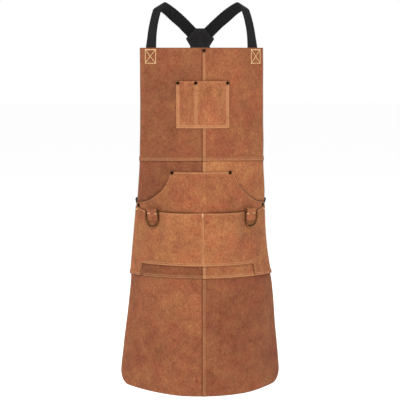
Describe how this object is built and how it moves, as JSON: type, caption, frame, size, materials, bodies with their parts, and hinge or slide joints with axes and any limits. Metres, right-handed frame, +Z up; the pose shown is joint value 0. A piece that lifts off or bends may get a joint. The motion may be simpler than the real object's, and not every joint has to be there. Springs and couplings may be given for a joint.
{
  "type": "welding apron",
  "caption": "Split leather bib welding apron shown as worn, with cross-back webbing straps, riveted chest, hand and tool pockets, swinging D-rings and side-release hip buckles.",
  "frame": {"origin": "the point midway between the wearer's shoulders, level with the undersides of the two straps where they cross over them", "axes": "+Z up, +Y towards the wearer's back, +X towards the viewer's right when facing the apron's front"},
  "size_m": [0.4988, 0.2672, 1.2068],
  "materials": {
    "bib_left_suede": "napped split leather, reddish brown",
    "bib_right_suede": "napped split leather, tan brown",
    "waist_left_suede": "napped split leather, dark brown",
    "waist_right_suede": "napped split leather, light tan",
    "skirt_left_suede": "napped split leather, tan brown",
    "skirt_right_suede": "napped split leather, reddish brown",
    "chest_pocket_suede": "napped split leather, light tan",
    "hand_pocket_suede": "napped split leather, tan",
    "tool_pocket_suede": "napped split leather, light tan",
    "tab_leather": "folded leather tab",
    "antique_brass": "darkened antique brass",
    "black_webbing": "ribbed woven webbing",
    "yoke_leather": "black grained leather",
    "black_plastic": "moulded black acetal"
  },
  "bodies": {
    "apron": {"bib_panel_left": "bib_left_suede", "bib_panel_right": "bib_right_suede", "waist_panel_left": "waist_left_suede", "waist_panel_right": "waist_right_suede", "skirt_panel_left": "skirt_left_suede", "skirt_panel_right": "skirt_right_suede", "chest_pocket": "chest_pocket_suede", "hand_pocket": "hand_pocket_suede", "tool_pocket": "tool_pocket_suede", "d_ring_tab_left": "tab_leather", "d_ring_tab_right": "tab_leather", "chest_pocket_rivets": "antique_brass", "hand_pocket_rivets": "antique_brass", "side_rivets": "antique_brass", "top_seam_rivet": "antique_brass", "chest_rivet_backs": "antique_brass", "hand_rivet_backs": "antique_brass", "side_rivet_backs": "antique_brass", "top_rivet_back": "antique_brass", "shoulder_strap_left": "black_webbing", "shoulder_strap_right": "black_webbing", "yoke_patch_outer": "yoke_leather", "yoke_patch_inner": "yoke_leather", "hip_tab_left": "black_webbing", "hip_tab_right": "black_webbing", "buckle_socket_left": "black_plastic", "buckle_socket_right": "black_plastic"},
    "ring_left": {"d_ring_left": "antique_brass"},
    "plug_left": {"buckle_plug_left": "black_plastic", "strap_loop_left": "black_webbing"},
    "prong_left_front": {"buckle_prong_left_front": "black_plastic"},
    "prong_left_rear": {"buckle_prong_left_rear": "black_plastic"},
    "keeper_left": {"strap_keeper_left": "black_plastic"},
    "ring_right": {"d_ring_right": "antique_brass"},
    "plug_right": {"buckle_plug_right": "black_plastic", "strap_loop_right": "black_webbing"},
    "prong_right_front": {"buckle_prong_right_front": "black_plastic"},
    "prong_right_rear": {"buckle_prong_right_rear": "black_plastic"},
    "keeper_right": {"strap_keeper_right": "black_plastic"}
  },
  "joints": [
    {"name": "left_ring_swing", "type": "hinge", "parent": "apron", "child": "ring_left", "pos_m": [-0.15317, -0.08487, -0.6303], "axis": [-0.7894, 0.6139, 0], "range_deg": [0, 150]},
    {"name": "left_buckle_release", "type": "slide", "parent": "apron", "child": "plug_left", "axis": [0.3401, 0.3801, 0.8602], "range_m": [0, 0.04]},
    {"name": "left_prong_front", "type": "hinge", "parent": "plug_left", "child": "prong_left_front", "pos_m": [-0.16965, 0.0259, -0.54546], "axis": [-0.924, 0.3049, 0.2306], "range_deg": [0, 6], "stiffness_Nm_per_rad": 1},
    {"name": "left_prong_rear", "type": "hinge", "parent": "plug_left", "child": "prong_left_rear", "pos_m": [-0.17566, -0.00414, -0.52981], "axis": [0.924, -0.3049, -0.2306], "range_deg": [0, 6], "stiffness_Nm_per_rad": 1},
    {"name": "left_keeper_slide", "type": "slide", "parent": "plug_left", "child": "keeper_left", "axis": [0.3401, 0.3801, 0.8602], "range_m": [-0.026, 0.03]},
    {"name": "right_ring_swing", "type": "hinge", "parent": "apron", "child": "ring_right", "pos_m": [0.15046, -0.08487, -0.6303], "axis": [-0.7757, -0.6311, 0], "range_deg": [0, 150]},
    {"name": "right_buckle_release", "type": "slide", "parent": "apron", "child": "plug_right", "axis": [-0.3401, 0.3801, 0.8602], "range_m": [0, 0.04]},
    {"name": "right_prong_front", "type": "hinge", "parent": "plug_right", "child": "prong_right_front", "pos_m": [0.16965, 0.0259, -0.54546], "axis": [-0.924, -0.3049, -0.2306], "range_deg": [0, 6], "stiffness_Nm_per_rad": 1},
    {"name": "right_prong_rear", "type": "hinge", "parent": "plug_right", "child": "prong_right_rear", "pos_m": [0.17566, -0.00414, -0.52981], "axis": [0.924, 0.3049, 0.2306], "range_deg": [0, 6], "stiffness_Nm_per_rad": 1},
    {"name": "right_keeper_slide", "type": "slide", "parent": "plug_right", "child": "keeper_right", "axis": [-0.3401, 0.3801, 0.8602], "range_m": [-0.026, 0.03]}
  ],
  "couplings": [
    {"joint": "left_prong_rear", "follows": "left_prong_front", "ratio": 1},
    {"joint": "right_prong_rear", "follows": "right_prong_front", "ratio": 1}
  ]
}
